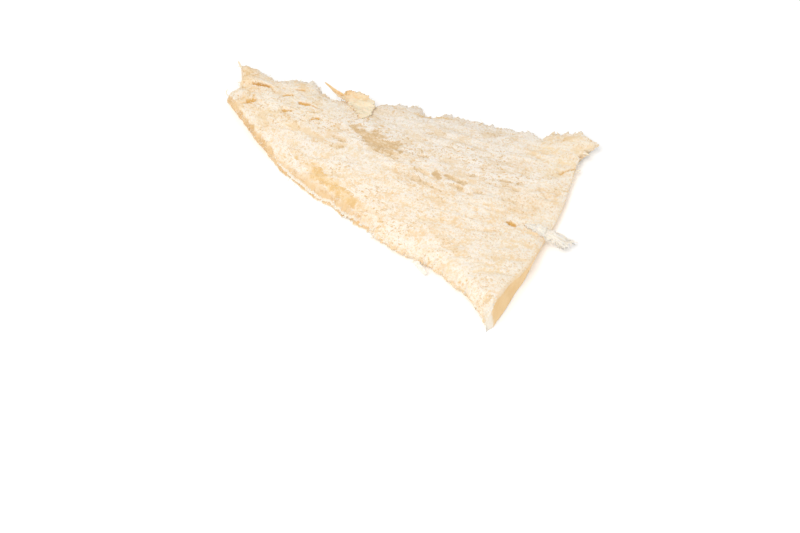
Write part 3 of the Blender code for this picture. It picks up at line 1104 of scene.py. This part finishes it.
def make_tuft(top, material):
    """A band of white fibres torn over the cut: a thin sheet ruled between two lines, and loose fibres."""
    sheet = frayed(ruled(TUFT_FRONT, TUFT_BACK, TUFT_ROWS, TUFT_LANES), 161, 1.3, 4.0)
    ground = laid(sheet * (1.0, 1.0, 0.0), top)[..., 2]
    sheet[..., 2] = mix(ground + 0.3, sheet[..., 2], smooth((sheet[..., 0] - 67.5) / 4.0))
    s = np.linspace(0.0, 1.0, TUFT_ROWS)[:, None]
    t = np.linspace(0.0, 1.0, TUFT_LANES)[None]
    comb = layered(0.6 * s + 0.0 * t, 9.0 * t + 0.0 * s, 1.0, 163, 3, 0.6)
    sheet = sheet + (sheet[-1:] - sheet[-12:-11]) * (1.9 * comb * smooth((s - 0.7) / 0.3))[..., None]
    sheet[..., 2] += (0.7 * comb + 0.4 * np.sin(np.pi * t)) * smooth(s * 3.0)
    piece = thick_sheet("tuft", sheet, 0.45 - 0.25 * smooth((s - 0.7) / 0.3) + 0.0 * t, material)
    shown = smooth(0.5 + 1.2 * comb)
    paint_twice(piece, "flake", (0.10 + 0.0 * comb, 0.55 + 0.45 * shown, 0.0 * comb))

    random = np.random.default_rng(165)
    count, steps = 60, 14
    along = np.linspace(0.0, 1.0, steps)[None]
    start = random.uniform(0.0, 0.75, count)[:, None]
    reach = random.uniform(0.25, 0.7, count)[:, None]
    last = random.uniform(1.0, 1.09, count)[:, None]
    end = np.minimum(start + reach, last)
    where = mix(start, end, along)
    lane = random.uniform(-0.05, 1.05, count)[:, None] + random.normal(0.0, 0.22, count)[:, None] * along ** 2
    row = np.clip(where, 0.0, 1.0) * (TUFT_ROWS - 1.0)
    low = np.minimum(row.astype(int), TUFT_ROWS - 2)
    share = (row - low)[..., None]
    near = mix(sheet[low, 0], sheet[low + 1, 0], share)
    far = mix(sheet[low, -1], sheet[low + 1, -1], share)
    paths = mix(near, far, lane[..., None])
    paths = paths + (sheet[-1, 12] - sheet[-9, 12]) * (np.clip(where - 1.0, 0.0, None) * 8.0)[..., None]
    wander = np.cumsum(random.normal(0.0, 0.07, (count, steps, 3)), axis=1)
    paths = paths + wander + (0.0, 0.0, 0.25)
    radii = random.uniform(0.07, 0.16, count)[:, None] * np.ones((1, steps))
    make_tubes("tuft_fibres", paths, radii, material, (0.05, 0.9, 0.0))


def make_fray(top, material):
    """Short fibres standing out of the torn edges: each leaves the rim and bends away at random."""
    random = np.random.default_rng(171)
    rims = (
        (top[20:330, 0], BELLY_OUT, 190),
        (top[10:340, -1], BACK_OUT, 190),
        (top[-1, 150:], CUT_OUT, 46),
        (top[0, 4:-4], TAIL_OUT, 20),
    )
    starts, outs = [], []
    for line, out, count in rims:
        starts.append(line[random.integers(0, len(line), count)])
        outs.append(np.tile(np.append(out, 0.0), (count, 1)))
    start, out = np.concatenate(starts), np.concatenate(outs)
    count, steps = len(start), 6
    along = np.linspace(0.0, 1.0, steps)[None, :, None]
    length = random.gamma(2.0, 0.22, count)[:, None, None] + 0.40
    drift = random.normal(0.0, 0.75, (count, 1, 3)) * (1.0, 1.0, 0.45)
    bend = random.normal(0.0, 0.5, (count, 1, 3)) * (1.0, 1.0, 0.6)
    heading = (out[:, None] + drift) * length
    paths = start[:, None] - out[:, None] * 0.5 + heading * along + bend * along ** 2
    paths[..., 2] = np.maximum(paths[..., 2] - random.uniform(0.1, 0.8, count)[:, None], 0.4)
    stout = np.where(out[:, 1] < -0.5, 0.5, 1.0)
    radii = (random.uniform(0.09, 0.26, count) * stout)[:, None] * np.ones((1, steps))
    make_tubes("edge_fibres", paths, radii, material, (0.12, 0.70, 0.0), 4)


# Larger torn threads: their paths in millimetres, and their radii.
THREADS = (
    (
        ((-83.6, -30.6, 6.6), (-84.8, -30.6, 7.8), (-85.3, -30.5, 8.6), (-85.9, -30.7, 9.1)),
        (0.5, 0.38, 0.45, 0.4),
    ),
    (
        ((-75.6, -43.6, 4.6), (-76.9, -44.2, 5.0), (-77.9, -43.6, 5.8), (-77.8, -42.6, 6.4)),
        (0.3, 0.22, 0.2, 0.15),
    ),
    (
        ((46.6, 42.4, 5.4), (47.8, 42.9, 5.5), (48.8, 43.4, 5.6), (49.8, 43.6, 5.6)),
        (0.5, 0.4, 0.25, 0.12),
    ),
)


def make_threads(material):
    """A few thicker torn threads, each a tube along its own bent path."""
    paths = np.stack([bent_line(path, 12) for path, _ in THREADS])
    spots = np.linspace(0.0, 3.0, 12)
    radii = np.stack([np.interp(spots, range(4), sizes) for _, sizes in THREADS])
    make_tubes("torn_threads", paths, radii, material, (0.35, 0.5, 0.0), 8)


def make_salt_plate(material):
    """A thin clear plate of salt under the belly edge: a small bent sheet ruled between two lines."""
    near = ((42.0, -45.9, 2.0), (45.4, -46.6, 1.8), (49.0, -47.0, 1.4))
    far = ((42.4, -44.6, 2.8), (45.6, -45.0, 2.6), (49.4, -45.6, 2.2))
    sheet = frayed(ruled(near, far, 24, 8), 181, 0.4, 3.0)
    piece = thick_sheet("salt_plate", sheet, 0.35 * np.ones(sheet.shape[:2]), material)


# ---------------------------------------------------------------- salt grains

FINE_GRAINS = 5200
COARSE_GRAINS = 200
ICO = (1.0 + math.sqrt(5.0)) / 2.0
GRAIN_POINTS = np.array(
    [(a, b * ICO, 0.0) for a in (-1, 1) for b in (-1, 1)]
    + [(0.0, a, b * ICO) for a in (-1, 1) for b in (-1, 1)]
    + [(a * ICO, 0.0, b) for a in (-1, 1) for b in (-1, 1)]
) / math.hypot(1.0, ICO)


def hull_faces(points):
    """Triangles of the icosahedron: corner triples one edge apart, ordered to face outwards."""
    count = len(points)
    a, b, c = np.meshgrid(*[np.arange(count)] * 3, indexing="ij")
    ordered = (a < b) & (b < c)
    trios = np.stack((a[ordered], b[ordered], c[ordered]), -1)
    gaps = np.linalg.norm(points[trios] - points[np.roll(trios, -1, axis=1)], axis=2)
    near = trios[(gaps < 1.1).all(axis=1)]
    normal = np.cross(points[near[:, 1]] - points[near[:, 0]], points[near[:, 2]] - points[near[:, 0]])
    inside_out = (normal * points[near[:, 0]]).sum(axis=1) < 0
    near[inside_out] = near[inside_out][:, ::-1]
    return near


GRAIN_FACES = hull_faces(GRAIN_POINTS)


def turned(points, random, count):
    """The same points turned to random attitudes, one set for each grain."""
    q = random.normal(size=(count, 4))
    w, x, y, z = (q / np.linalg.norm(q, axis=1)[:, None]).T
    matrix = np.array(
        (
            (1 - 2 * (y * y + z * z), 2 * (x * y - z * w), 2 * (x * z + y * w)),
            (2 * (x * y + z * w), 1 - 2 * (x * x + z * z), 2 * (y * z - x * w)),
            (2 * (x * z - y * w), 2 * (y * z + x * w), 1 - 2 * (x * x + y * y)),
        )
    )
    return np.einsum("ijn,npj->npi", matrix, points)


def make_grains(name, places, sizes, material, seed):
    """Scattered salt: one rough twenty-sided grain at each place, turned and squashed at random."""
    random = np.random.default_rng(seed)
    count = len(places)
    shape = GRAIN_POINTS * random.uniform(0.72, 1.15, (count, len(GRAIN_POINTS), 1))
    shape = shape * random.uniform(0.7, 1.2, (count, 1, 3))
    grains = places[:, None] + turned(shape, random, count) * (0.5 * sizes)[:, None, None]
    faces = GRAIN_FACES[None] + (np.arange(count) * len(GRAIN_POINTS))[:, None, None]
    piece = put_mesh(name, grains.reshape(-1, 3), faces.reshape(-1, 3), None, material, level=False)
    return piece


def strewn(top, weight, count, seed):
    """Random places on the top face, likelier where the weight is high."""
    random = np.random.default_rng(seed)
    across = np.linalg.norm(np.gradient(top, axis=1), axis=2)
    along = np.linalg.norm(np.gradient(top, axis=0), axis=2)
    chance = (weight * across * along).ravel()
    picked = random.choice(chance.size, count, replace=False, p=chance / chance.sum())
    jitter = random.uniform(-0.2, 0.2, (count, 3)) * (1.0, 1.0, 0.0)
    return top.reshape(-1, 3)[picked] + jitter


# ---------------------------------------------------------------- build

flesh, top, masks = make_flesh(flesh_material())
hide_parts("cod_slab")
make_skin(skin_material())

flake = flake_material()
make_curled_flake(top, flake)
make_tuft(top, flake)
make_fray(top, flake)
make_threads(flake)

salt = salt_material()
make_salt_plate(salt)
random = np.random.default_rng(7)
fine = strewn(top, masks["crust"] ** 2 + 0.02, FINE_GRAINS, 131)
make_grains("fine_salt", fine, random.uniform(0.14, 0.42, len(fine)), salt, 133)
coarse = strewn(top, masks["white"] + masks["crust"] ** 4 * 0.004, COARSE_GRAINS, 135)
make_grains("coarse_salt", coarse, random.uniform(0.35, 0.95, len(coarse)), salt, 137)

# ---------------------------------------------------------------- floor, light and camera

CENTRE = 0.5 * (LOW + HIGH)
LENGTH = HIGH[0] - LOW[0]
VIEW_TURN = 48.1
AZIMUTH = math.radians(VIEW_TURN)
ELEVATION = math.radians(50.0)
CAMERA_AWAY = 4.366 * LENGTH
AIM = (CENTRE[0] + 0.228 * LENGTH, CENTRE[1] - 0.297 * LENGTH, LOW[2])


def facing(azimuth, elevation):
    """Unit direction from the slab out to an azimuth and elevation."""
    flat = math.cos(elevation)
    return np.array((math.sin(azimuth) * flat, -math.cos(azimuth) * flat, math.sin(elevation)))


def turn_to(thing, target):
    """Turn a camera or light at its place to face a point."""
    thing.rotation_euler = (Vector(target) - thing.location).to_track_quat("-Z", "Y").to_euler()


def add_floor():
    """A broad pale floor level with the slab's underside."""
    bpy.ops.mesh.primitive_plane_add(size=6.0, location=(CENTRE[0], CENTRE[1], LOW[2]))
    floor = bpy.context.object
    floor.name = "floor"
    floor.data.materials.append(board_material())


def add_light(name, azimuth, elevation, away, size, power):
    """A square soft light facing the slab from a direction seen from above."""
    lamp = bpy.data.lights.new(name, "AREA")
    lamp.size = size
    lamp.energy = power
    thing = bpy.data.objects.new(name, lamp)
    thing.location = CENTRE + facing(math.radians(azimuth), math.radians(elevation)) * away
    turn_to(thing, CENTRE)
    bpy.context.scene.collection.objects.link(thing)


def add_camera():
    """A long lens looking down on the slab from its cut belly corner's side."""
    camera = bpy.data.objects.new("camera", bpy.data.cameras.new("camera"))
    camera.data.lens = 85.0
    camera.data.sensor_width = 36.0
    camera.data.clip_start = 0.01
    camera.location = np.array(AIM) + facing(AZIMUTH, ELEVATION) * CAMERA_AWAY
    turn_to(camera, AIM)
    bpy.context.scene.collection.objects.link(camera)
    bpy.context.scene.camera = camera


add_floor()
add_light("key", VIEW_TURN - 35.0, 58.0, 0.9, 0.5, 3.9)
add_light("fill", VIEW_TURN + 60.0, 40.0, 1.0, 0.8, 0.8)
add_camera()

world = bpy.data.worlds.new("studio")
world.use_nodes = True
world.node_tree.nodes["Background"].inputs["Color"].default_value = (1.0, 1.0, 1.0, 1.0)
world.node_tree.nodes["Background"].inputs["Strength"].default_value = 0.61
bpy.context.scene.world = world
bpy.context.scene.view_settings.view_transform = "Standard"
